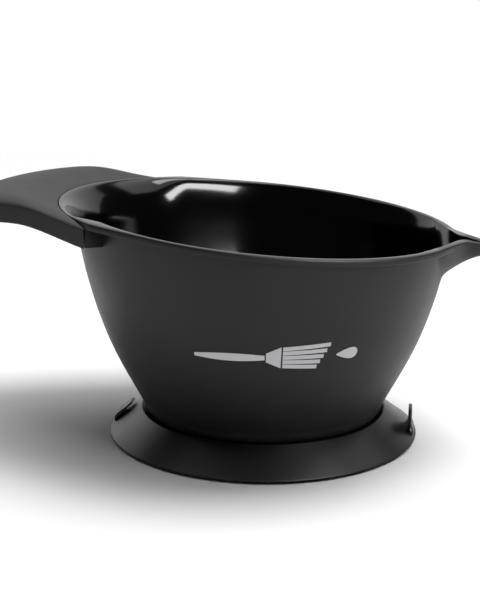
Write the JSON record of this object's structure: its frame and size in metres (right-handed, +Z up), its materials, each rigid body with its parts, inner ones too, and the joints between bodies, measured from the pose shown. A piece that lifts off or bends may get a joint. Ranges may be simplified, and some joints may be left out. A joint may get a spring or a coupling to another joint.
{
  "type": "hair color bowl",
  "caption": "Tint mixing bowl with a pouring spout, a broad soft-grip handle and a removable rubber suction base with pull tabs.",
  "frame": {"origin": "centre of the suction base's foot ring, on the counter", "axes": "+Z up out of the bowl, +X towards the spout, -X towards the handle"},
  "size_m": [0.1845, 0.13, 0.0861],
  "materials": {
    "bowl_plastic": "polished inside, satin outside",
    "grip_rubber": "matt soft-touch",
    "base_rubber": "smooth satin"
  },
  "bodies": {
    "base": {"suction_base": "base_rubber"},
    "bowl": {"bowl_shell": "bowl_plastic", "handle_grip": "grip_rubber"},
    "tab_spout": {"pull_tab_spout": "base_rubber"},
    "tab_handle": {"pull_tab_handle": "base_rubber"}
  },
  "joints": [
    {"name": "base_pull", "type": "slide", "parent": "base", "child": "bowl", "axis": [0, 0, 1], "range_m": [0, 0.03]},
    {"name": "tab_spout_bend", "type": "hinge", "parent": "base", "child": "tab_spout", "pos_m": [0.05112, 0.00537, 0.00398], "axis": [-0.1045, 0.9945, 0], "range_deg": [-50, 90]},
    {"name": "tab_handle_bend", "type": "hinge", "parent": "base", "child": "tab_handle", "pos_m": [-0.05112, -0.00537, 0.00398], "axis": [0.1045, -0.9945, 0], "range_deg": [0, 140]}
  ]
}
